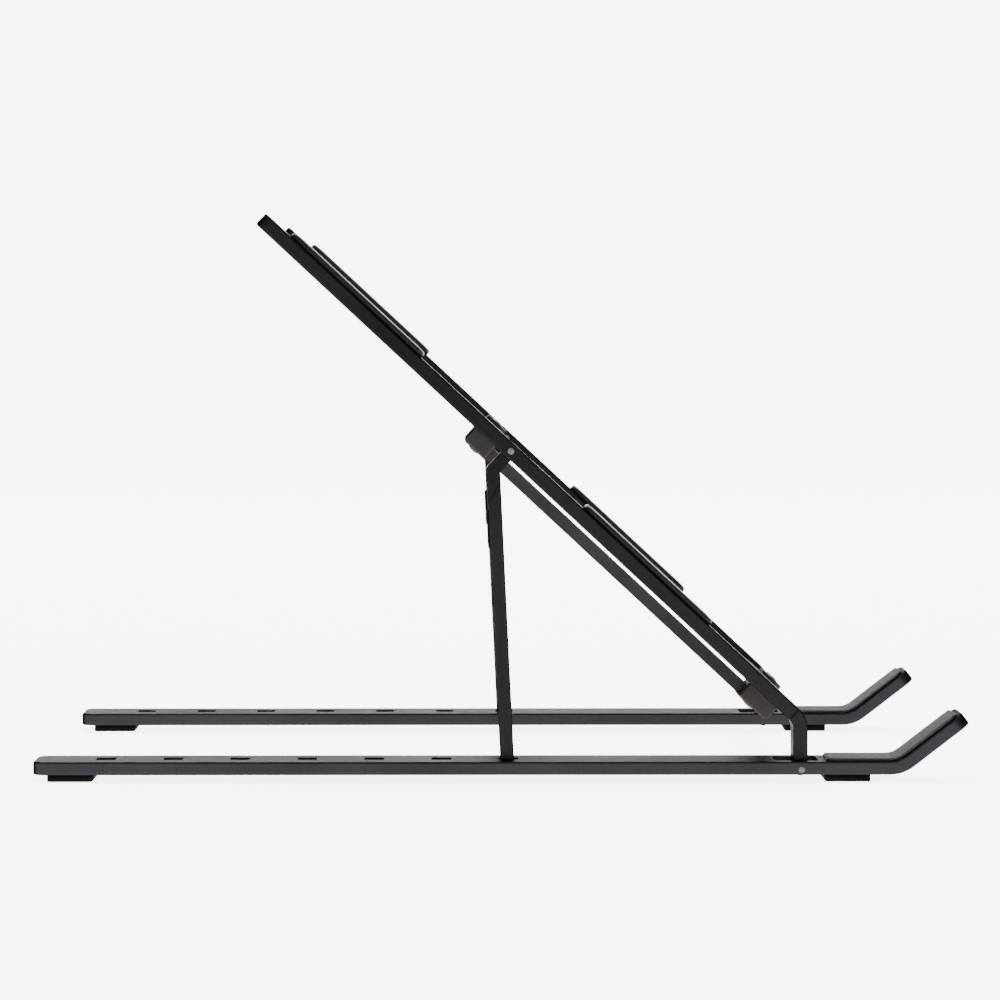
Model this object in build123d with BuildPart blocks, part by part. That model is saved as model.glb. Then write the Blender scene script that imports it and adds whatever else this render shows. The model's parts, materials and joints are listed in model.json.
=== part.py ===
"""A folding laptop stand: two slotted base rails with hooks, two hinged arms, two props and a folding brace.

X runs from the rear of the base to the hooks, Z is up, and left and right are the user's, so left is -Y.
The origin is the middle of the footprint, on the surface that the feet stand on.
"""

from build123d import *
from math import asin, atan2, cos, degrees, hypot, radians, sin, tan
import os

# Base rails, in millimetres
rail_spacing = 150.0
rail_width = 20.0
rail_thickness = 3.7
rail_edge = 0.5
rail_corner = 3.4
foot_height = 2.1
foot_length = 13.2
foot_width = 16.0
foot_corner = 1.2
foot_turn_up = 1.0
rear_foot_start = 3.9
front_foot_start = 221.8

# Hook at the front of each rail
hook_start = 240.3
hook_radius = 9.0
hook_angle = 37.5
hook_straight = 19.9
hook_pad_start = 222.6
hook_pad_thickness = 0.95
hook_pad_width = 17.2
hook_pad_inset = 1.4
hook_pad_corner = 2.6

# Slots that the props stand in, and the one that the arm's leg turns in
slot_count = 7
slot_pitch = 18.9
slot_first = 19.95
slot_length = 5.6
slot_width = 6.1
slot_corner = 1.0
seat_slot = 7
seat_setback = 0.35
leg_slot_rear = 7.5
leg_slot_front = 5.0
leg_slot_width = 12.0
leg_slot_corner = 1.0

# Arms
front_pin_x = 215.45
front_pin_height = 1.45
front_pin_short = 3.0
pin_radius = 1.0
pin_chamfer = 0.2
fixed_fit = 0.01
running_fit = 0.05
arm_angle = 42.9
arm_width = 12.0
arm_thickness = 4.1
arm_edge = 0.5
arm_corner = 2.6
arm_upper_run = 95.6
arm_lower_run = 111.15
leg_height = 13.5
leg_width = 11.2
leg_edge = 0.4
leg_bend_radius = 6.0

# Pads on the arms
pad_width = 9.6
pad_thickness = 1.8
pad_round = 0.9
pad_corner = 2.4
upper_pad_start = 9.4
upper_pad_length = 50.0
lower_pad_start = 121.5
lower_pad_length = 48.4

# Props
prop_thickness = 3.9
prop_width = 8.0
prop_setback = 5.2
prop_edge = 0.5
knuckle_width = 5.6
knuckle_thickness = 3.7
scarf_top = 9.0
scarf_bottom = 14.8
tongue_width = 5.5
tongue_depth = 1.5
notch_clearance = 0.3
notch_up = 2.8
notch_down = 6.6
bumper_start = 16.4
bumper_length = 10.8
bumper_width = 5.0
bumper_thickness = 0.6

# Folding brace under and between the arms
block_s = -6.6
block_spacing = 112.0
link_inset = 3.0
link_width = 5.6
link_thickness = 1.4
link_gap = 0.2
block_pin_offset = 5.2
block_length = 8.8
block_tail = 2.7
block_width = 16.0
block_bottom = 8.3
block_edge = 0.7
block_round = 1.6
spine_width = 7.2
spine_top = 4.1
spine_thickness = 3.8
spine_insert = 7.0
spine_edge = 0.4
top_plate_thickness = 1.5
top_plate_margin = 0.8
top_plate_corner = 2.0
rivet_head_radius = 1.7
rivet_head_height = 0.6
pocket_margin = 1.6
pocket_depth = 6.1
brace_fold = 84.0

# How near a length must be to a thickness to be taken for it
same = 0.01

# Heights and places that follow
rail_bottom = foot_height
rail_top = rail_bottom + rail_thickness
hook_a = radians(hook_angle)
overall_length = (
    hook_start
    + hook_radius * sin(hook_a)
    + (hook_straight - rail_edge) * cos(hook_a)
    + (rail_thickness / 2 - rail_edge) * sin(hook_a)
    + rail_edge
)
rear = -overall_length / 2
pin_x = rear + front_pin_x
pin_z = rail_bottom + front_pin_height
arm_a = radians(arm_angle)
pivot_x = pin_x - arm_lower_run * cos(arm_a)
pivot_z = pin_z + leg_height + arm_lower_run * sin(arm_a)
leg_turn = 90.0 - arm_angle
arm_end = arm_lower_run - leg_bend_radius * tan(radians(leg_turn / 2))
seat_x = rear + slot_first + (seat_slot - 1) * slot_pitch - seat_setback
along = (cos(arm_a), 0, -sin(arm_a))
normal = (sin(arm_a), 0, cos(arm_a))

# The prop's straight part runs through its seat and passes the pivot at prop_setback
to_seat = hypot(seat_x - pivot_x, pivot_z - rail_top)
prop_angle = atan2(seat_x - pivot_x, pivot_z - rail_top) + asin(prop_setback / to_seat)
prop_down = (sin(prop_angle), 0, -cos(prop_angle))
shoulder = to_seat * cos(asin(prop_setback / to_seat))
bend_along = prop_setback / tan(arm_a + prop_angle)
link_length = rail_spacing / 2 - link_inset - block_pin_offset

sides = {"left": -1, "right": 1}
os.makedirs("parts", exist_ok=True)


def upright(side):
    """The XZ plane through a side's middle, looking along +Y."""
    return Plane(origin=(0, sides[side] * rail_spacing / 2, 0), x_dir=(1, 0, 0), z_dir=(0, -1, 0))


def arm_upright(side):
    """Local x down the arm from the prop's pivot, local y out of its top face."""
    origin = (pivot_x, sides[side] * rail_spacing / 2, pivot_z)
    return Plane(origin=origin, x_dir=along, z_dir=(0, -1, 0))


def prop_upright(side):
    """Local x down the prop from its pivot, local y towards the hooks."""
    origin = (pivot_x, sides[side] * rail_spacing / 2, pivot_z)
    return Plane(origin=origin, x_dir=prop_down, z_dir=(0, -1, 0))


def arm_deck(side, height=0.0):
    """Parallel to the arm's top face: local x down the arm, local y along +Y."""
    y = sides[side] * rail_spacing / 2 if side else 0.0
    return Plane(origin=(pivot_x, y, pivot_z), x_dir=along, z_dir=normal).offset(height)


def level(z, side):
    """A horizontal plane with its origin at the rear end, in the middle of a side."""
    return Plane(origin=(rear, sides[side] * rail_spacing / 2, z), x_dir=(1, 0, 0), z_dir=(0, 0, 1))


def pin_side(side):
    """The outer face of a rail, and how far the front pin goes in from there."""
    outwards = -sides[side]
    face = upright(side).offset(outwards * rail_width / 2)
    return face, -outwards * (rail_width - front_pin_short)


def save(part, name):
    part.part.label = name
    export_step(part.part, "parts/" + name + ".step")


def strip_outline(low, high, start, straight):
    """A strip that follows the rail's middle line round the hook, from low to high across it."""
    centre_z = (rail_bottom + rail_top) / 2
    first = (rear + start, centre_z + low)
    second = (rear + start, centre_z + high)
    under = Line(first, (rear + hook_start, centre_z + low))
    outer = JernArc(under @ 1, (1, 0), hook_radius - low, hook_angle)
    nose = Line(outer @ 1, outer @ 1 + outer % 1 * straight)
    over = Line(second, (rear + hook_start, centre_z + high))
    inner = JernArc(over @ 1, (1, 0), hook_radius - high, hook_angle)
    crest = Line(inner @ 1, inner @ 1 + inner % 1 * straight)
    Line(first, second)
    Line(nose @ 1, crest @ 1)


def rims(part, thickness):
    """The edges round a flat bar's two broad sides: all that aren't as long as it is thick."""
    return [edge for edge in part.edges() if abs(edge.length - thickness) > same]


def make_rail(side):
    half = rail_thickness / 2
    with BuildPart() as rail:
        with BuildSketch(upright(side)):
            with BuildLine():
                strip_outline(-half, half, 0, hook_straight)
            make_face()
        extrude(amount=rail_width / 2, both=True)
        across = rail.edges().filter_by(lambda edge: abs(edge.length - rail_thickness) < same)
        fillet(across, radius=rail_corner)
        fillet(rims(rail, rail_thickness), radius=rail_edge)
        with BuildSketch(level(rail_bottom, side)):
            with Locations((slot_first + slot_pitch * (slot_count - 1) / 2, 0)):
                with GridLocations(slot_pitch, 0, slot_count, 1):
                    RectangleRounded(slot_length, slot_width, slot_corner)
            with Locations((front_pin_x + (leg_slot_front - leg_slot_rear) / 2, 0)):
                RectangleRounded(leg_slot_front + leg_slot_rear, leg_slot_width, leg_slot_corner)
        extrude(amount=rail_thickness, mode=Mode.SUBTRACT)
        outer_face, depth = pin_side(side)
        with BuildSketch(outer_face):
            with Locations((pin_x, pin_z)):
                Circle(pin_radius + fixed_fit)
        extrude(amount=depth, mode=Mode.SUBTRACT)
    save(rail, side + "_base_rail")


def make_hook_pad(side):
    half = rail_thickness / 2
    straight = hook_straight - hook_pad_inset
    with BuildPart() as pad:
        with BuildSketch(upright(side)):
            with BuildLine():
                strip_outline(half, half + hook_pad_thickness, hook_pad_start, straight)
            make_face()
        extrude(amount=hook_pad_width / 2, both=True)
        across = pad.edges().filter_by(lambda edge: abs(edge.length - hook_pad_thickness) < same)
        fillet(across, radius=hook_pad_corner)
    save(pad, side + "_hook_pad")


def make_foot(side, place, start, rounded):
    """rounded picks the end, -1 for the rear and 1 for the front, whose lower edge is turned up."""
    with BuildPart() as foot:
        with BuildSketch(level(0, side)):
            with Locations((start + foot_length / 2, 0)):
                Rectangle(foot_length, foot_width)
        extrude(amount=foot_height)
        fillet(foot.edges().filter_by(Axis.Z), radius=foot_corner)
        low_edges = foot.edges().group_by(Axis.Z)[0].filter_by(Axis.Y)
        fillet(low_edges.sort_by(Axis.X)[0 if rounded < 0 else -1], radius=foot_turn_up)
    save(foot, side + "_" + place + "_foot")


def make_front_pin(side):
    """Goes in from the rail's outer face and stops short of the inner one."""
    outer_face, depth = pin_side(side)
    with BuildPart() as pin:
        with BuildSketch(outer_face):
            with Locations((pin_x, pin_z)):
                Circle(pin_radius)
        extrude(amount=depth)
        chamfer(pin.edges().filter_by(GeomType.CIRCLE), length=pin_chamfer)
    save(pin, side + "_front_pin")


def make_prop_pin(side):
    with BuildPart() as pin:
        with BuildSketch(arm_upright(side)):
            Circle(pin_radius)
        extrude(amount=arm_width / 2, both=True)
        chamfer(pin.edges().filter_by(GeomType.CIRCLE), length=pin_chamfer)
    save(pin, side + "_prop_pin")


def inner(side, distance):
    """A place across the arm, measured from its inner face, in the arm deck's local y."""
    return -sides[side] * (arm_width / 2 - distance)


def make_arm(side):
    """A flat bar with a notch for the prop, and two pockets in its inner face for the folded links."""
    top = -arm_upper_run
    folded_reach = link_length * sin(radians(brace_fold)) + link_width / 2 + pocket_margin
    eye_reach = link_width / 2 + link_gap
    lower_s = block_s + block_spacing
    pocket_height = link_thickness + 2 * link_gap
    pockets = ((block_s - folded_reach, block_s + eye_reach), (lower_s - folded_reach, arm_end))
    with BuildPart() as arm:
        with BuildSketch(arm_upright(side)):
            with Locations(((top + arm_end) / 2, 0)):
                Rectangle(arm_end - top, arm_thickness)
        extrude(amount=arm_width / 2, both=True)
        across = arm.edges().filter_by(lambda edge: abs(edge.length - arm_thickness) < same)
        fillet(across.sort_by(Axis.Z)[-2:], radius=arm_corner)
        facing_down = arm.faces().filter_by(lambda face: face.normal_at().dot(Vector(*along)) > 0.99)
        at_leg = facing_down.edges()
        fillet([edge for edge in rims(arm, arm_thickness) if edge not in at_leg], radius=arm_edge)
        with BuildSketch(arm_deck(side, -pocket_height / 2)):
            for start, end in pockets:
                with Locations(((start + end) / 2, inner(side, pocket_depth / 2))):
                    Rectangle(end - start, pocket_depth)
        extrude(amount=pocket_height, mode=Mode.SUBTRACT)
        with BuildSketch(arm_deck(side, -arm_thickness)):
            with Locations(((notch_down - notch_up) / 2, 0)):
                Rectangle(notch_down + notch_up, knuckle_width + 2 * notch_clearance)
        extrude(amount=2 * arm_thickness, mode=Mode.SUBTRACT)
        with BuildSketch(arm_upright(side)):
            Circle(pin_radius + fixed_fit)
        extrude(amount=arm_width / 2, both=True, mode=Mode.SUBTRACT)
        with BuildSketch(arm_deck(side, -arm_thickness)):
            with Locations((block_s, inner(side, link_inset)), (lower_s, inner(side, link_inset))):
                Circle(pin_radius + fixed_fit)
        extrude(amount=2 * arm_thickness, mode=Mode.SUBTRACT)
    save(arm, side + "_arm")


def make_leg(side):
    """The bent end of an arm: one wall straight on from the arm, round the bend and down to the front pin."""
    half = arm_thickness / 2
    eye = Vector(pin_x, pin_z)
    slope = Vector(cos(arm_a), -sin(arm_a))
    up = Vector(sin(arm_a), cos(arm_a))
    end = Vector(pivot_x, pivot_z) + slope * arm_end
    with BuildPart() as leg:
        with BuildSketch(upright(side)):
            with BuildLine():
                front = JernArc(end + up * half, slope, leg_bend_radius + half, -leg_turn)
                rear_arc = JernArc(end - up * half, slope, leg_bend_radius - half, -leg_turn)
                front_wall = Line(front @ 1, (eye.X + half, eye.Y))
                rear_wall = Line(rear_arc @ 1, (eye.X - half, eye.Y))
                Line(front_wall @ 1, rear_wall @ 1)
                Line(front @ 0, rear_arc @ 0)
            make_face()
            with Locations(eye):
                Circle(half)
        extrude(amount=leg_width / 2, both=True)
        fillet(leg.faces().filter_by(Axis.Y).edges(), radius=leg_edge)
        with BuildSketch(upright(side)):
            with Locations(eye):
                Circle(pin_radius + running_fit)
        extrude(amount=leg_width / 2, both=True, mode=Mode.SUBTRACT)
    save(leg, side + "_arm_leg")


def make_arm_pad(side, place, start, length):
    with BuildPart() as pad:
        with BuildSketch(arm_deck(side, arm_thickness / 2)):
            with Locations((start + length / 2 - arm_upper_run, 0)):
                RectangleRounded(length, pad_width, pad_corner)
        extrude(amount=pad_thickness)
        up = Vector(*normal)
        top = pad.faces().filter_by(lambda face: face.normal_at().dot(up) > 0.99)
        fillet(top.edges(), radius=pad_round)
    save(pad, side + "_" + place + "_pad")


def bar_plan(start, end, thickness):
    """A bar with round ends, from one point to another along the prop's upright plane."""
    run = hypot(end[0] - start[0], end[1] - start[1])
    turn = degrees(atan2(end[1] - start[1], end[0] - start[0]))
    middle = ((start[0] + end[0]) / 2, (start[1] + end[1]) / 2)
    with Locations(Location((middle[0], middle[1], 0), (0, 0, turn))):
        SlotCenterToCenter(run, thickness)


def scarf_plane(side):
    """The slanting joint between the knuckle and the bar, facing down the prop."""
    frame = prop_upright(side)
    front = frame.from_local_coords(Vector(scarf_top, prop_thickness / 2 - prop_setback, 0))
    back = frame.from_local_coords(Vector(scarf_bottom, -prop_thickness / 2 - prop_setback, 0))
    slant = (back - front).normalized()
    return Plane(origin=front, x_dir=(0, 1, 0), z_dir=slant.cross(Vector(0, 1, 0)))


def make_knuckle(side):
    bend = (bend_along, -prop_setback)
    with BuildPart() as knuckle:
        with BuildSketch(prop_upright(side)):
            bar_plan((0, 0), bend, knuckle_thickness)
            bar_plan(bend, (2 * scarf_bottom, -prop_setback), prop_thickness)
        extrude(amount=knuckle_width / 2, both=True)
        split(bisect_by=scarf_plane(side), keep=Keep.BOTTOM)
        with BuildSketch(prop_upright(side)):
            Circle(pin_radius + running_fit)
        extrude(amount=knuckle_width / 2, both=True, mode=Mode.SUBTRACT)
    save(knuckle, side + "_prop_knuckle")


def make_prop(side):
    tongue_end = (shoulder + tongue_depth - prop_thickness / 2, -prop_setback)
    tongue_root = (shoulder - 2 * prop_thickness, -prop_setback)
    down = Vector(*prop_down)
    with BuildPart() as prop:
        with BuildSketch(prop_upright(side)):
            with Locations(((shoulder + bend_along) / 2, -prop_setback)):
                Rectangle(shoulder + prop_thickness / 2 - bend_along, prop_thickness)
        extrude(amount=prop_width / 2, both=True)
        split(bisect_by=scarf_plane(side), keep=Keep.TOP)
        long_edges = prop.edges().filter_by(lambda edge: abs(edge.tangent_at(0.5).dot(down)) > 0.99)
        fillet(long_edges, radius=prop_edge)
        split(bisect_by=Plane.XY.offset(rail_top), keep=Keep.TOP)
        with BuildSketch(prop_upright(side)):
            bar_plan(tongue_root, tongue_end, prop_thickness)
        extrude(amount=tongue_width / 2, both=True)
    save(prop, side + "_prop")


def make_bumper(side):
    middle = -prop_setback - (prop_thickness + bumper_thickness) / 2
    with BuildPart() as bumper:
        with BuildSketch(prop_upright(side)):
            with Locations((bumper_start + bumper_length / 2, middle)):
                Rectangle(bumper_length, bumper_thickness)
        extrude(amount=bumper_width / 2, both=True)
    save(bumper, side + "_prop_bumper")


def make_link(side, place, s):
    """A flat link with an eye at each end, from the arm's pocket to the brace's block."""
    low = -link_thickness / 2
    block_y = sides[side] * block_pin_offset
    arm_y = block_y + sides[side] * link_length
    with BuildPart() as link:
        with BuildSketch(arm_deck(None, low)):
            with Locations(Location((s, (block_y + arm_y) / 2, 0), (0, 0, 90))):
                SlotCenterToCenter(link_length, link_width)
            with Locations((s, block_y), (s, arm_y)):
                Circle(pin_radius + running_fit, mode=Mode.SUBTRACT)
        extrude(amount=link_thickness)
    save(link, side + "_" + place + "_link")
    with BuildPart() as pin:
        with BuildSketch(arm_deck(None, -arm_thickness / 2)):
            with Locations((s, arm_y)):
                Circle(pin_radius)
        extrude(amount=arm_thickness)
    save(pin, side + "_" + place + "_link_pin")


def make_block(place, s):
    block_top = -link_thickness / 2 - link_gap
    plate_bottom = link_thickness / 2 + link_gap
    tail = 1 if place == "upper" else -1
    longer = 0 if place == "upper" else block_tail
    rivets = [(s, -block_pin_offset), (s, block_pin_offset)]
    with BuildPart() as block:
        with BuildSketch(arm_deck(None, -block_bottom)):
            with Locations((s + longer / 2, 0)):
                Rectangle(block_length + longer, block_width)
        extrude(amount=block_bottom + block_top)
        outer_end = block.faces().sort_by(Axis(origin=(0, 0, 0), direction=along))[-1 if longer else 0]
        down = Vector(*normal)
        fillet(outer_end.edges().sort_by(lambda edge: edge.center().dot(down))[0], radius=block_round)
        flanks = block.faces().filter_by(Axis.Y)
        chamfer(flanks.edges(), length=block_edge)
        socket = (s + tail * (block_length - spine_insert) / 2, 0)
        with BuildSketch(arm_deck(None, -spine_top - spine_thickness)):
            with Locations(socket):
                Rectangle(spine_insert, spine_width)
        extrude(amount=spine_thickness, mode=Mode.SUBTRACT)
        with BuildSketch(arm_deck(None, -2 * block_bottom)):
            with Locations(*rivets):
                Circle(pin_radius + fixed_fit)
        extrude(amount=4 * block_bottom, mode=Mode.SUBTRACT)
    save(block, place + "_hinge_block")
    with BuildPart() as plate:
        with BuildSketch(arm_deck(None, plate_bottom)):
            with Locations((s, 0)):
                RectangleRounded(link_width + 2 * top_plate_margin, block_width, top_plate_corner)
            with Locations(*rivets):
                Circle(pin_radius + fixed_fit, mode=Mode.SUBTRACT)
        extrude(amount=top_plate_thickness)
    save(plate, place + "_hinge_plate")
    with BuildPart() as pins:
        with BuildSketch(arm_deck(None, -block_bottom)):
            with Locations(*rivets):
                Circle(pin_radius)
        extrude(amount=block_bottom + plate_bottom + top_plate_thickness)
        with BuildSketch(arm_deck(None, plate_bottom + top_plate_thickness)):
            with Locations(*rivets):
                Circle(rivet_head_radius)
        extrude(amount=rivet_head_height)
        with BuildSketch(arm_deck(None, -block_bottom)):
            with Locations(*rivets):
                Circle(rivet_head_radius)
        extrude(amount=-rivet_head_height)
    save(pins, place + "_hinge_rivets")


def make_spine():
    start = block_s + block_length / 2 - spine_insert
    end = block_s + block_spacing - block_length / 2 + spine_insert
    with BuildPart() as spine:
        with BuildSketch(arm_deck(None, -spine_top - spine_thickness)):
            with Locations(((start + end) / 2, 0)):
                Rectangle(end - start, spine_width)
        extrude(amount=spine_thickness)
    save(spine, "brace_spine")


for side in sides:
    make_rail(side)
    make_hook_pad(side)
    make_foot(side, "rear", rear_foot_start, 1)
    make_foot(side, "front", front_foot_start, -1)
    make_front_pin(side)
    make_arm(side)
    make_leg(side)
    make_arm_pad(side, "upper", upper_pad_start, upper_pad_length)
    make_arm_pad(side, "lower", lower_pad_start, lower_pad_length)
    make_knuckle(side)
    make_prop(side)
    make_bumper(side)
    make_prop_pin(side)
    make_link(side, "upper", block_s)
    make_link(side, "lower", block_s + block_spacing)
make_block("upper", block_s)
make_block("lower", block_s + block_spacing)
make_spine()
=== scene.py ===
# %% [markdown]
# # A folding laptop stand
#
# The stand is two slotted rails with hooks, two sloping arms, two props that stand in the slots, and a folding
# brace between the arms. Its CAD model is loaded first, and everything that follows is built around it.
# The metal bars of the CAD model are right as they are, so they only get a finish. The rubber pads, the feet and
# the turned pins are small shapes that catch the eye, so they are made again here with softer, finer surfaces.

# %% Load the CAD model
import json

import bpy
import numpy as np
from math import acos, cos, pi, radians, sin
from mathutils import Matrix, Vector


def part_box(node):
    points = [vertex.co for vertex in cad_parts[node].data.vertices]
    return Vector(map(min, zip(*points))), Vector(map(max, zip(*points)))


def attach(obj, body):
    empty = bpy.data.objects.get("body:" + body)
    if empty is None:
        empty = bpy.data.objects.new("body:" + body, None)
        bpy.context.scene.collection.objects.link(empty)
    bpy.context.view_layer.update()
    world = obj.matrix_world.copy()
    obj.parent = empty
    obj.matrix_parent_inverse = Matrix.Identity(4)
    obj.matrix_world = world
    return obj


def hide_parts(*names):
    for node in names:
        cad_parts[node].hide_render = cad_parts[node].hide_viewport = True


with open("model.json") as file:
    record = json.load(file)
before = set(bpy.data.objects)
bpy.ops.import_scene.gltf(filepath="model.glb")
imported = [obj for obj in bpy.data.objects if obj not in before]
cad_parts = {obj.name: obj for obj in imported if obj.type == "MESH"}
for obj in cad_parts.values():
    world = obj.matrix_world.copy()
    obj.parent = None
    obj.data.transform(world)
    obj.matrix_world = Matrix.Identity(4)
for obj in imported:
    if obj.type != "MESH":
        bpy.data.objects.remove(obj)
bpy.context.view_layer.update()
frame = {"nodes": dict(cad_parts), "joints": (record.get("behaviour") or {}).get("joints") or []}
nodes = frame["nodes"]
MM = 0.001

# %% [markdown]
# ## The camera
#
# The stand is seen from its left side, from about half-way along the rails and from below the arms' top ends,
# through a long lens. A long lens far away keeps the near and the far arm almost in line, as a product picture
# does. The place is measured from the near rail, so it moves with that rail if the stand gets wider. The camera is
# turned to aim at the stand, because shifting the lens would follow it into every other view.

# %% Camera
near_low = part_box("left_base_rail")[0]
FROM_REAR_END = 122.35 * MM
ABOVE_TABLE = 125.6 * MM
FROM_NEAR_SIDE = 1170 * MM
LENS_MM = 151.0
SENSOR_MM = 36.0
NEAREST_SEEN = 10 * MM
AIM_DOWN = radians(2.27)
AIM_RIGHT = radians(0.42)

eye = bpy.data.objects.new("camera", bpy.data.cameras.new("camera"))
eye.data.sensor_width = SENSOR_MM
eye.data.lens = LENS_MM
eye.data.clip_start = NEAREST_SEEN
eye.location = (near_low.x + FROM_REAR_END, near_low.y - FROM_NEAR_SIDE, ABOVE_TABLE)
eye.rotation_euler = (pi / 2 - AIM_DOWN, 0, -AIM_RIGHT)
bpy.context.scene.collection.objects.link(eye)
bpy.context.scene.camera = eye
print("camera at", [round(v / MM) for v in eye.location], "mm")

# %% [markdown]
# ## Adding shader nodes
#
# A material is a small graph: coordinates feed a pattern, the pattern feeds a colour, a roughness or a bump, and
# those feed the shader. One helper adds any node with its settings and its links. Colours are written as the hex
# values a designer would pick on screen. A renderer adds up light, so it needs linear values, and one function
# turns hex to linear.


# %% Colour and node helpers
def linear(hex_colour):
    """Screen colour to light: c / 12.92 below 0.04045, and ((c + 0.055) / 1.055) to the power 2.4 above it."""
    screen = np.array([int(hex_colour[i : i + 2], 16) for i in (1, 3, 5)]) / 255
    light = np.where(screen <= 0.04045, screen / 12.92, ((screen + 0.055) / 1.055) ** 2.4)
    return (*light.tolist(), 1.0)


def add(tree, kind, inputs=None, **settings):
    """Adds one node. An input that is another node's output is linked, and any other value is set."""
    made = tree.nodes.new(kind)
    for name, value in settings.items():
        setattr(made, name, value)
    for name, value in (inputs or {}).items():
        if isinstance(value, bpy.types.NodeSocket):
            tree.links.new(value, made.inputs[name])
        else:
            made.inputs[name].default_value = value
    return made


print("a middle grey on screen is this much light:", round(linear("#808080")[0], 3))


# %% [markdown]
# ## One recipe for fine-grained finishes
#
# Bead-blasted metal, moulded rubber and cast parts share a build-up. A fine grain, a fraction of a millimetre
# across, roughens the surface. A broad, faint cloud, a few centimetres across, stops a long bar from looking
# like one flat colour. The sizes below are real sizes in millimetres, and a noise texture's scale is one over
# the size, because Object coordinates are in metres. The colour moves between two near shades with the cloud,
# and the roughness wanders with it, as it does where a surface has been handled.


# %% Grained finish
MIX_FACTOR, MIX_FIRST, MIX_SECOND, MIX_RESULT = 0, 6, 7, 2
CLOUD_LOW, CLOUD_HIGH = 0.3, 0.7


def grained(name, shades, metallic, roughness, grain_mm, bump_mm, cloud_mm, spread=0.05, **uniform):
    """Colour runs from one shade to the other and roughness from r - spread to r + spread. Both follow a slow
    noise n by (n - low) / (high - low), and a fine noise is the bump's height. Scale is 1 / size in metres."""
    made = bpy.data.materials.new(name)
    made.use_nodes = True
    tree = made.node_tree
    shader = tree.nodes["Principled BSDF"]
    shader.inputs["Metallic"].default_value = metallic
    for socket, value in uniform.items():
        shader.inputs[socket.replace("_", " ")].default_value = value
    place = add(tree, "ShaderNodeTexCoord").outputs["Object"]
    cloud = add(tree, "ShaderNodeTexNoise", {"Vector": place, "Scale": 1 / (cloud_mm * MM), "Detail": 3.0})
    grain = add(tree, "ShaderNodeTexNoise", {"Vector": place, "Scale": 1 / (grain_mm * MM), "Detail": 2.0})
    ends = {"Value": cloud.outputs["Fac"], "From Min": CLOUD_LOW, "From Max": CLOUD_HIGH}
    slow = add(tree, "ShaderNodeMapRange", {**ends, "To Min": 0.0, "To Max": 1.0}).outputs["Result"]
    rough = add(tree, "ShaderNodeMapRange", {**ends, "To Min": roughness - spread, "To Max": roughness + spread})
    blend = {MIX_FACTOR: slow, MIX_FIRST: linear(shades[0]), MIX_SECOND: linear(shades[1])}
    colour = add(tree, "ShaderNodeMix", blend, data_type="RGBA")
    raised = {"Height": grain.outputs["Fac"], "Distance": bump_mm * MM, "Strength": 1.0}
    bump = add(tree, "ShaderNodeBump", raised)
    tree.links.new(colour.outputs[MIX_RESULT], shader.inputs["Base Color"])
    tree.links.new(rough.outputs["Result"], shader.inputs["Roughness"])
    tree.links.new(bump.outputs["Normal"], shader.inputs["Normal"])
    print(name, "grain", grain_mm, "mm, cloud", cloud_mm, "mm")
    return made


# %% [markdown]
# ## The finishes of this stand
#
# *Black anodised aluminium.* The bars are bead-blasted, then anodised and dyed. The dye sits in a clear oxide
# skin, so the metal is nearly black, and keeps a soft metallic sheen. Blasting grit is about 0.1 mm, too fine to
# show from here, so the grain is drawn 0.45 mm across. The rails have the same skin in a copy painted a shade
# lighter, a painted lighter tone that stands in for the light falling on the rails.
#
# *Dark cast aluminium.* The brace is a slightly lighter part with a coarser, warmer skin.
#
# *Silicone and rubber.* The arm pads are smooth black silicone. The hook pads are grey silicone with a fine
# matt texture that stops a laptop from sliding. The feet and the bumpers are black rubber.
#
# *Turned steel.* The pins and rivets are bare steel, warm grey and smoother than the bars, so they stand out.
#
# A bright metal turns mirror-like when seen along its surface. A dyed skin soaks that light up, so the two dark
# metals get a grey specular tint, which sets their brightness at a grazing angle. The moulded skins are
# fine-pored, and reflect less than polished ones, so their specular level is low.
#
# The numbers of each finish are, in order, how metallic it is, its roughness, and the grain's size, the bump's
# height and the cloud's size in millimetres. The blasted bars also state how far their roughness wanders.

# %% Finishes
FINE_PORED = {"IOR": 1.41, "Specular_IOR_Level": 0.14}
DYED = {"Specular_Tint": linear("#59595c")}
CAST = {"Specular_Tint": linear("#8c8b8a")}
BLASTED = (1.0, 0.38, 0.45, 0.007, 38, 0.03)
anodised = grained("black_anodised_aluminium", ("#121213", "#171718"), *BLASTED, **DYED)
# The rails' copy of the same anodised stock is painted a shade lighter than the arms' copy, for the light on the
# rails.
rail_lit_lighter_copy = grained("anodised_rail_painted_lighter", ("#1b1b1d", "#222224"), *BLASTED, **DYED)
cast = grained("dark_cast_aluminium", ("#1f1e1d", "#282625"), 1.0, 0.44, 0.6, 0.015, 24, **CAST)
silicone = grained("smooth_black_silicone", ("#08080a", "#0d0d0e"), 0.0, 0.46, 0.5, 0.008, 20, **FINE_PORED)
grip = grained("matt_grey_silicone", ("#202021", "#29292a"), 0.0, 0.9, 0.55, 0.06, 16, **FINE_PORED)
SOOTY = {"IOR": 1.45, "Specular_IOR_Level": 0.05}
rubber = grained("black_foot_rubber", ("#060607", "#0b0b0c"), 0.0, 0.8, 0.5, 0.02, 12, **SOOTY)
steel = grained("turned_steel", ("#46433f", "#5a5651"), 1.0, 0.34, 0.35, 0.004, 3)

# %% [markdown]
# ## Finishing the bars
#
# The arms, legs, props and their heads are the same anodised stock. The rails get a copy of it painted a shade
# lighter, for the light that falls on them. The links, the plates, the blocks and the bar of the brace are the
# cast finish. A CAD node keeps its own mesh, so the finish goes into its material slot. The nodes that FINISH_OF
# doesn't name get the finish of the arms.

# %% Finish the CAD nodes
FINISH_OF = {"base_rail": rail_lit_lighter_copy, "spine": cast, "_link": cast, "hinge_block": cast, "hinge_plate": cast}


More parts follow.
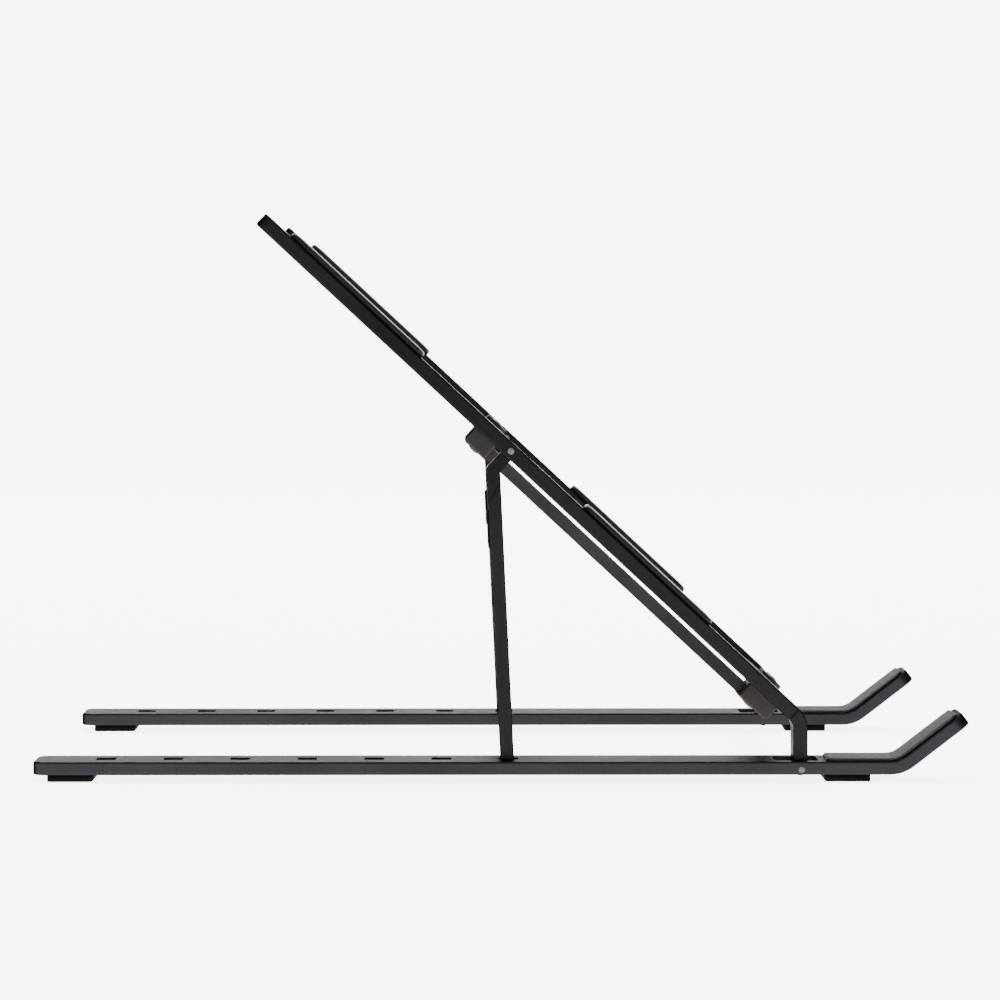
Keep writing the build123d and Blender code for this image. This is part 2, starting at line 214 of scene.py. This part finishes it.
def finish_node(name, finish):
    """Puts a finish in every material slot of a CAD node."""
    slots = nodes[name].data.materials
    for index in range(len(slots)):
        slots[index] = finish
    if not len(slots):
        slots.append(finish)


for name in nodes:
    named = [finish for word, finish in FINISH_OF.items() if word in name]
    finish_node(name, named[0] if named else anodised)
print("finished", len(nodes), "CAD nodes")

# %% [markdown]
# ## Closed shells from rings
#
# Every new piece here is a stack of rings: the outline of a pad at each depth, the circles of a turned pin, or
# the section of a strip at each step along it. Neighbouring rings are joined by four-cornered faces and each end
# is closed by a fan. All the corners and faces are worked out at once as arrays. The sum of the faces' signed
# volumes tells which way they point, so a shell that came out inside out is turned round.


# %% Ring stacks
def closed_shell(name, rings, finish, body, node):
    """rings is (steps, points round, 3). Volume is the sum of a . (b x c) / 6 over triangles a, b, c."""
    steps, around = rings.shape[:2]
    corners = np.concatenate([rings.reshape(-1, 3), [rings[0].mean(0)], [rings[-1].mean(0)]])
    here = np.arange(around)
    after = np.roll(here, -1)
    row = np.arange(steps - 1)[:, None] * around
    walls = np.stack([row + here, row + after, row + around + after, row + around + here], -1).reshape(-1, 4)
    last, pole = (steps - 1) * around, steps * around
    fans = np.concatenate([
        np.stack([np.full(around, pole), after, here], -1),
        np.stack([np.full(around, pole + 1), last + here, last + after], -1),
    ])
    triangles = corners[np.concatenate([walls[:, :3], walls[:, [0, 2, 3]], fans])]
    volume = np.einsum("ij,ij->", triangles[:, 0], np.cross(triangles[:, 1], triangles[:, 2])) / 6
    if volume < 0:
        walls, fans = walls[:, ::-1], fans[:, ::-1]
    mesh = bpy.data.meshes.new(name)
    mesh.from_pydata(corners.tolist(), [], walls.tolist() + fans.tolist())
    mesh.polygons.foreach_set("use_smooth", np.ones(len(mesh.polygons), bool))
    mesh.materials.append(finish)
    piece = bpy.data.objects.new(name, mesh)
    bpy.context.scene.collection.objects.link(piece)
    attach(piece, body)
    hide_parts(node)
    print(name, len(corners), "points,", round(abs(volume) / MM**3, 1), "mm3")
    return piece


# %% [markdown]
# ## Measuring a CAD node along its own directions
#
# The arms slope, so their pads and pins aren't square to the axes. The brace's hinge stands square to the arms,
# and its axis is in the CAD record: that gives the arm's own directions, down its length, across it, and out of
# its top face. The props lean by a small angle of their own. A node's corners are multiplied by three directions
# to get its size along them.

# %% The arm's directions, and a node's size along any directions
joints = {joint["name"]: joint for joint in frame["joints"]}
out = np.array(joints["brace_fold"]["axis"], float)
out /= np.linalg.norm(out)
across = np.array([0.0, 1.0, 0.0])
ARM_AXES = np.stack([np.array([out[2], 0.0, -out[0]]), across, out])
PROP_TILT = radians(2.752)
PROP_AXES = np.stack([[sin(PROP_TILT), 0, -cos(PROP_TILT)], across, [-cos(PROP_TILT), 0, -sin(PROP_TILT)]])
UPRIGHT = np.eye(3)
DOWNWARD = np.diag([1.0, 1.0, -1.0])


def reach(node, axes):
    """The lowest and highest values of a node's corners along each of three directions."""
    mesh = nodes[node].data
    flat = np.empty(len(mesh.vertices) * 3, np.float32)
    mesh.vertices.foreach_get("co", flat)
    along = flat.reshape(-1, 3).astype(float) @ axes.T
    return along.min(0), along.max(0)


print("arm slope", round(np.degrees(acos(out[2])), 2), "degrees")


# %% [markdown]
# ## Pads and feet
#
# A stick-on pad is a rounded rectangle with a soft shoulder and a slightly crowned face. Its outline is carried
# inwards step by step: each ring is the outline pulled in by a distance, at a height that rises round the
# shoulder as a quarter circle and then follows a shallow crown. Pulling in a rounded rectangle keeps its shape,
# which scaling wouldn't. Moulded pads of this sort often have a fine line just inside the edge, left by the
# tool, and a groove a tenth of a millimetre deep draws it.


# %% Rounded pads
SHOULDER_STEPS, FACE_STEPS, OUTLINE_STEPS = 8, 22, 64
CLOSEST_TO_MIDDLE, SMALLEST_CORNER = 0.05 * MM, 0.03 * MM


def pad_rings(low, high, corner, shoulder, crown, groove=None):
    """Outline pulled in by d: straight sides move by d, and the corner radius is the corner minus d, with a floor.
    Below the top by shoulder * (1 - sqrt(1 - (1 - d / shoulder)^2)) and by crown * (1 - t)^2, where t runs from 0
    at the shoulder to 1 in the middle. A groove is (place, depth, spread), and takes off
    depth * exp(-((d - place) / spread)^2)."""
    length, width, thick = high - low
    half = min(length, width) / 2
    round_up = shoulder * (1 - np.cos(np.linspace(0, pi / 2, SHOULDER_STEPS)))
    face = shoulder + (half - CLOSEST_TO_MIDDLE - shoulder) * np.linspace(0, 1, FACE_STEPS)[1:]
    inset = np.concatenate([[0.0], round_up, face])
    climb = np.sqrt(np.clip(1 - (1 - np.clip(inset / shoulder, 0, 1)) ** 2, 0, 1))
    t = np.clip((inset - shoulder) / (half - shoulder), 0, 1)
    height = thick - crown - shoulder * (1 - climb) + crown * (1 - (1 - t) ** 2)
    height[0] = 0.0
    if groove:
        place, depth, spread = groove
        height -= depth * np.exp(-(((inset - place) / spread) ** 2))
    turn = np.linspace(0, 2 * pi, OUTLINE_STEPS, endpoint=False) + pi / OUTLINE_STEPS
    radius = np.maximum(corner - inset, SMALLEST_CORNER)[:, None]
    x = np.sign(np.cos(turn)) * (length / 2 - inset[:, None] - radius) + radius * np.cos(turn)
    y = np.sign(np.sin(turn)) * (width / 2 - inset[:, None] - radius) + radius * np.sin(turn)
    z = np.broadcast_to(height[:, None], x.shape)
    return np.stack([x + (low + high)[0] / 2, y + (low + high)[1] / 2, z + low[2]], -1)


SIDES = ("left", "right")
PAD_CORNER, PAD_SHOULDER, PAD_CROWN = 2.4 * MM, 0.8 * MM, 0.15 * MM
PAD_GROOVE = (1.35 * MM, 0.14 * MM, 0.2 * MM)
for side in SIDES:
    for place in ("upper", "lower"):
        node = f"{side}_{place}_pad"
        low, high = reach(node, ARM_AXES)
        rings = pad_rings(low, high, PAD_CORNER, PAD_SHOULDER, PAD_CROWN, PAD_GROOVE)
        closed_shell(node + "_silicone", rings @ ARM_AXES, silicone, f"arm_{side}", node)

# %% [markdown]
# The feet are the same kind of shape upside down, with a flatter face and a smaller shoulder, so that they look
# pressed from sheet rubber. The end of each foot that faces the middle of the rail is turned up: points near it
# move towards the foot's middle, by the cube of how deep they lie below the rail. The bumper on the back of each
# prop is a smaller pad, facing backwards.

# %% Feet and bumpers
FOOT_CORNER, FOOT_SHOULDER, FOOT_CROWN = 1.2 * MM, 0.3 * MM, 0.04 * MM
FOOT_GROOVE = (1.5 * MM, 0.1 * MM, 0.25 * MM)
TURN_UP, TURN_UP_REACH = 0.5 * MM, 1.4 * MM
BUMPER_CORNER, BUMPER_SHOULDER, BUMPER_CROWN = 0.9 * MM, 0.3 * MM, 0.06 * MM
for side in SIDES:
    for place in ("rear", "front"):
        node = f"{side}_{place}_foot"
        low, high = reach(node, DOWNWARD)
        rings = pad_rings(low, high, FOOT_CORNER, FOOT_SHOULDER, FOOT_CROWN, FOOT_GROOVE)
        turned_up = high[0] if place == "rear" else low[0]
        close = np.clip(1 - np.abs(rings[..., 0] - turned_up) / TURN_UP_REACH, 0, 1)
        depth = np.clip((rings[..., 2] - low[2]) / (high[2] - low[2]), 0, 1)
        rings[..., 0] += np.sign((low + high)[0] / 2 - turned_up) * TURN_UP * close * depth**3
        closed_shell(node + "_rubber", rings @ DOWNWARD, rubber, f"rail_{side}", node)
    node = f"{side}_prop_bumper"
    low, high = reach(node, PROP_AXES)
    rings = pad_rings(low, high, BUMPER_CORNER, BUMPER_SHOULDER, BUMPER_CROWN)
    closed_shell(node + "_rubber", rings @ PROP_AXES, rubber, f"prop_{side}", node)

# %% [markdown]
# ## The grip strip in each hook
#
# A strip of matt silicone lines the rail from behind the hook to near its tip. It is a flat section with rounded
# edges, carried along the rail's own line: level, round the bend, and up the straight slope. Near both ends the
# section narrows along a quarter circle, which gives the strip its rounded corners. Five shallow ribs run along
# it. The places are measured from the rail's rear end, and the hook's radius is that of the rail's middle line.

# %% Hook strips
HOOK_START, HOOK_RADIUS, HOOK_TURN = 240.3 * MM, 9.0 * MM, radians(37.5)
RAIL_TOP, RAIL_THICK = 5.8 * MM, 3.7 * MM
STRIP_START, STRIP_WIDTH, STRIP_THICK, STRIP_CORNER = 222.6 * MM, 17.2 * MM, 0.95 * MM, 2.6 * MM
STRIP_ON_SLOPE = 18.5 * MM
RIBS, RIB_DEPTH, END_ROUNDING = 5, 0.07 * MM, 0.5 * MM
SECTION_POWER = 0.35
CORNER_STEPS, LENGTH_STEPS, SECTION_STEPS = 14, 90, 96
INNER_RADIUS = HOOK_RADIUS - RAIL_THICK / 2
BEND = INNER_RADIUS * HOOK_TURN
LEVEL = HOOK_START - STRIP_START


def along_hook(distance):
    """Place and upward direction on the rail's inner face: level, then an arc, then a straight slope. On the arc,
    turned by a, the place is (r sin a, r (1 - cos a)) and the direction is (-sin a, cos a)."""
    turned = np.clip((distance - LEVEL) / BEND, 0, 1) * HOOK_TURN
    past = np.clip(distance - LEVEL - BEND, 0, None)
    x = np.minimum(distance, LEVEL) + INNER_RADIUS * np.sin(turned) + past * np.cos(turned)
    z = INNER_RADIUS * (1 - np.cos(turned)) + past * np.sin(turned)
    return np.stack([x, z], -1), np.stack([-np.sin(turned), np.cos(turned)], -1)


def strip_rings(rear_end, middle):
    """Width at a distance e from an end is w - 2 * (c - sqrt(c^2 - (c - e)^2)), for corners of radius c.
    The section is a squared-off oval: y = sign(cos a) * |cos a|^p * w / 2, and height goes by the sine."""
    total = LEVEL + BEND + STRIP_ON_SLOPE
    ease = (1 - np.cos(np.linspace(0, pi / 2, CORNER_STEPS))) * STRIP_CORNER
    middle_part = np.linspace(STRIP_CORNER, total - STRIP_CORNER, LENGTH_STEPS)[1:-1]
    distance = np.concatenate([ease, middle_part, total - ease[::-1]])
    end = np.minimum(np.minimum(distance, total - distance), STRIP_CORNER)
    cut = STRIP_CORNER - np.sqrt(np.clip(STRIP_CORNER**2 - (STRIP_CORNER - end) ** 2, 0, None))
    wide = STRIP_WIDTH / 2 - cut
    turn = np.linspace(0, 2 * pi, SECTION_STEPS, endpoint=False)
    side, rise = np.cos(turn), np.sin(turn)
    y = np.sign(side) * np.abs(side) ** SECTION_POWER * wide[:, None]
    lift = (0.5 + 0.5 * np.sign(rise) * np.abs(rise) ** SECTION_POWER) * STRIP_THICK
    soft = np.sqrt(np.clip(end / END_ROUNDING, 0.02, 1))
    waves = (1 - np.cos(2 * pi * y / (STRIP_WIDTH / RIBS))) / 2
    lift = (lift - RIB_DEPTH * np.sqrt(np.clip(rise, 0, 1)) * waves) * soft[:, None]
    spot, up = along_hook(distance)
    x = spot[:, 0, None] + up[:, 0, None] * lift
    z = spot[:, 1, None] + up[:, 1, None] * lift
    return np.stack([x + rear_end + STRIP_START, y + middle, z + RAIL_TOP], -1)


for side in SIDES:
    node = f"{side}_hook_pad"
    low, high = reach(f"{side}_base_rail", UPRIGHT)
    rings = strip_rings(low[0], (low[1] + high[1]) / 2)
    closed_shell(node + "_silicone", rings, grip, f"rail_{side}", node)
    print(side, "strip rises to", round(float(rings[..., 2].max()) / MM, 2), "mm")

# %% [markdown]
# ## Turned pins and rivets
#
# A pin is turned on a lathe: a profile spun round its axis. Each end has a small chamfer, a shallow ring cut by
# the tool, and a dimple left by the lathe's centre. The profile is a list of radii and places along the axis,
# and the circles are all made at once by multiplying it by the cosine and sine of the angle. The brace's rivets
# are the same, with a domed head at each end.


# %% Lathe shapes
CROSSWISE = np.array([[0.0, 0, 1], [1, 0, 0], [0, 1, 0]])
TURN_STEPS = 48
PIN_END = (
    (0.02, 0.14), (0.1, 0.12), (0.2, 0.03), (0.25, 0), (0.56, 0), (0.6, 0.06), (0.66, 0.06),
    (0.7, 0), (0.8, 0), (0.86, 0.02), (0.94, 0.08), (0.98, 0.16), (1, 0.26),
)


def spin(profile, centre, axes):
    """Point = centre + r cos(a) * first + r sin(a) * second + h * third direction."""
    turn = np.linspace(0, 2 * pi, TURN_STEPS, endpoint=False)
    radius, place = profile[:, 0, None], profile[:, 1, None]
    level = np.broadcast_to(place, (len(profile), TURN_STEPS))
    return np.stack([radius * np.cos(turn), radius * np.sin(turn), level], -1) @ axes + centre


def pin_profile(radius, half):
    """From the middle of one end to the middle of the other. PIN_END gives the dimple, ring and chamfer as radius
    and depth, both in shares of the pin's radius."""
    one = np.array(PIN_END) * radius - [0, half]
    return np.concatenate([one, one[::-1] * [1, -1]])


DOME_OPENING, DOME_STEPS = 0.02, 12


def rivet_profile(shank, head, head_height, half):
    """A domed head: radius is head * cos(a) and height is head_height * sin(a), for a from near 90 degrees down
    to 0, and then the shank as far as the rivet's middle. The other half is its mirror image."""
    angle = np.linspace(pi / 2 - DOME_OPENING, 0, DOME_STEPS)
    dome = np.stack([head * np.cos(angle), -half + head_height * (1 - np.sin(angle))], -1)
    neck = np.array([[shank, -half + head_height], [shank, 0]])
    one = np.concatenate([dome, neck])
    return np.concatenate([one, one[-2::-1] * [1, -1]])


print("a pin has", 2 * len(PIN_END), "circles of", TURN_STEPS, "points")

# %% Pins
for side in SIDES:
    for name, body in (("front_pin", "rail"), ("prop_pin", "arm")):
        node = f"{side}_{name}"
        low, high = reach(node, UPRIGHT)
        profile = pin_profile((high - low)[0] / 2, (high - low)[1] / 2)
        rings = spin(profile, (low + high) / 2, CROSSWISE)
        closed_shell(node + "_steel", rings, steel, f"{body}_{side}", node)
    for place in ("upper", "lower"):
        node = f"{side}_{place}_link_pin"
        low, high = reach(node, ARM_AXES)
        profile = pin_profile((high - low)[0] / 2, (high - low)[2] / 2)
        rings = spin(profile, (low + high) / 2 @ ARM_AXES, ARM_AXES)
        closed_shell(node + "_steel", rings, steel, f"arm_{side}", node)

# %% Rivets
SHANK, HEAD, HEAD_HEIGHT = 1.0 * MM, 1.7 * MM, 0.6 * MM
for place in ("upper", "lower"):
    node = f"{place}_hinge_rivets"
    low, high = reach(node, ARM_AXES)
    middle = (low + high) / 2
    profile = rivet_profile(SHANK, HEAD, HEAD_HEIGHT, (high - low)[2] / 2)
    for side, offset in (("left", low[1] + HEAD), ("right", high[1] - HEAD)):
        centre = np.array([middle[0], offset, middle[2]]) @ ARM_AXES
        rings = spin(profile, centre, ARM_AXES)
        closed_shell(f"{place}_hinge_rivet_{side}", rings, steel, "spine", node)

# %% [markdown]
# ## The table and the backdrop
#
# A product picture is taken on a sweep of white paper: flat under the object, and curving up behind it so that
# no horizon shows. The sweep is a profile, a floor, a quarter circle and a wall, pulled out sideways. Its sizes
# are in metres. The paper glows a little, as on a light table, so that it stays white while the object stays dark.

# %% Paper sweep
SWEEP_FRONT, SWEEP_BACK, SWEEP_RADIUS, SWEEP_TOP, SWEEP_SIDE = -3.0, 1.6, 0.8, 3.0, 3.5
SWEEP_STEPS, PAPER_GLOW = 24, 5.0
bend = np.linspace(0, pi / 2, SWEEP_STEPS)
curve_y = np.concatenate([[SWEEP_FRONT], SWEEP_BACK + SWEEP_RADIUS * np.sin(bend), [SWEEP_BACK + SWEEP_RADIUS]])
curve_z = np.concatenate([[0.0], SWEEP_RADIUS * (1 - np.cos(bend)), [SWEEP_TOP]])
curve = np.stack([curve_y, curve_z], -1)
edge_x = np.array([-SWEEP_SIDE, SWEEP_SIDE])
grid = np.concatenate([
    np.broadcast_to(edge_x[None, :, None], (len(curve), 2, 1)),
    np.broadcast_to(curve[:, None, :], (len(curve), 2, 2)),
], -1).reshape(-1, 3)
first = np.arange(len(curve) - 1) * 2
sweep_mesh = bpy.data.meshes.new("paper_sweep")
sweep_mesh.from_pydata(grid.tolist(), [], np.stack([first, first + 1, first + 3, first + 2], -1).tolist())
sweep_mesh.polygons.foreach_set("use_smooth", np.ones(len(sweep_mesh.polygons), bool))
sweep = bpy.data.objects.new("paper_sweep", sweep_mesh)
bpy.context.scene.collection.objects.link(sweep)
paper = grained("white_paper", ("#fbfbfb", "#fefefe"), 0.0, 0.9, 1.5, 0.01, 400, Specular_IOR_Level=0.1)
paper_shader = paper.node_tree.nodes["Principled BSDF"]
paper_shader.inputs["Emission Color"].default_value = (1, 1, 1, 1)
paper_shader.inputs["Emission Strength"].default_value = PAPER_GLOW
sweep_mesh.materials.append(paper)
print("sweep points", len(grid))

# %% [markdown]
# ## Light
#
# Dark metal shows what it reflects, so the light comes from large soft panels. One hangs above and a little
# behind, and brightens the tops of the rails and the rounded edges. A weaker one in front fills the sides. An
# even white surround fills what is left. Places and sizes are in metres.

# %% Lights
SURROUND_STRENGTH = 0.6
world = bpy.data.worlds.new("white_surround")
bpy.context.scene.world = world
world.use_nodes = True
world.node_tree.nodes["Background"].inputs["Color"].default_value = (1, 1, 1, 1)
world.node_tree.nodes["Background"].inputs["Strength"].default_value = SURROUND_STRENGTH


def softbox(name, place, turn, size, watts):
    """A rectangular panel of light, turned by angles in degrees about X and Z."""
    lamp = bpy.data.lights.new(name, "AREA")
    lamp.shape = "RECTANGLE"
    lamp.size, lamp.size_y = size
    lamp.energy = watts
    panel = bpy.data.objects.new(name, lamp)
    panel.location = place
    panel.rotation_euler = (radians(turn[0]), 0, radians(turn[1]))
    bpy.context.scene.collection.objects.link(panel)
    print(name, watts, "W")


softbox("overhead_softbox", (0.0, 0.35, 1.5), (-14, 0), (1.8, 1.2), 34)
softbox("front_fill", (-0.9, -1.5, 0.9), (62, -30), (0.9, 0.9), 7)
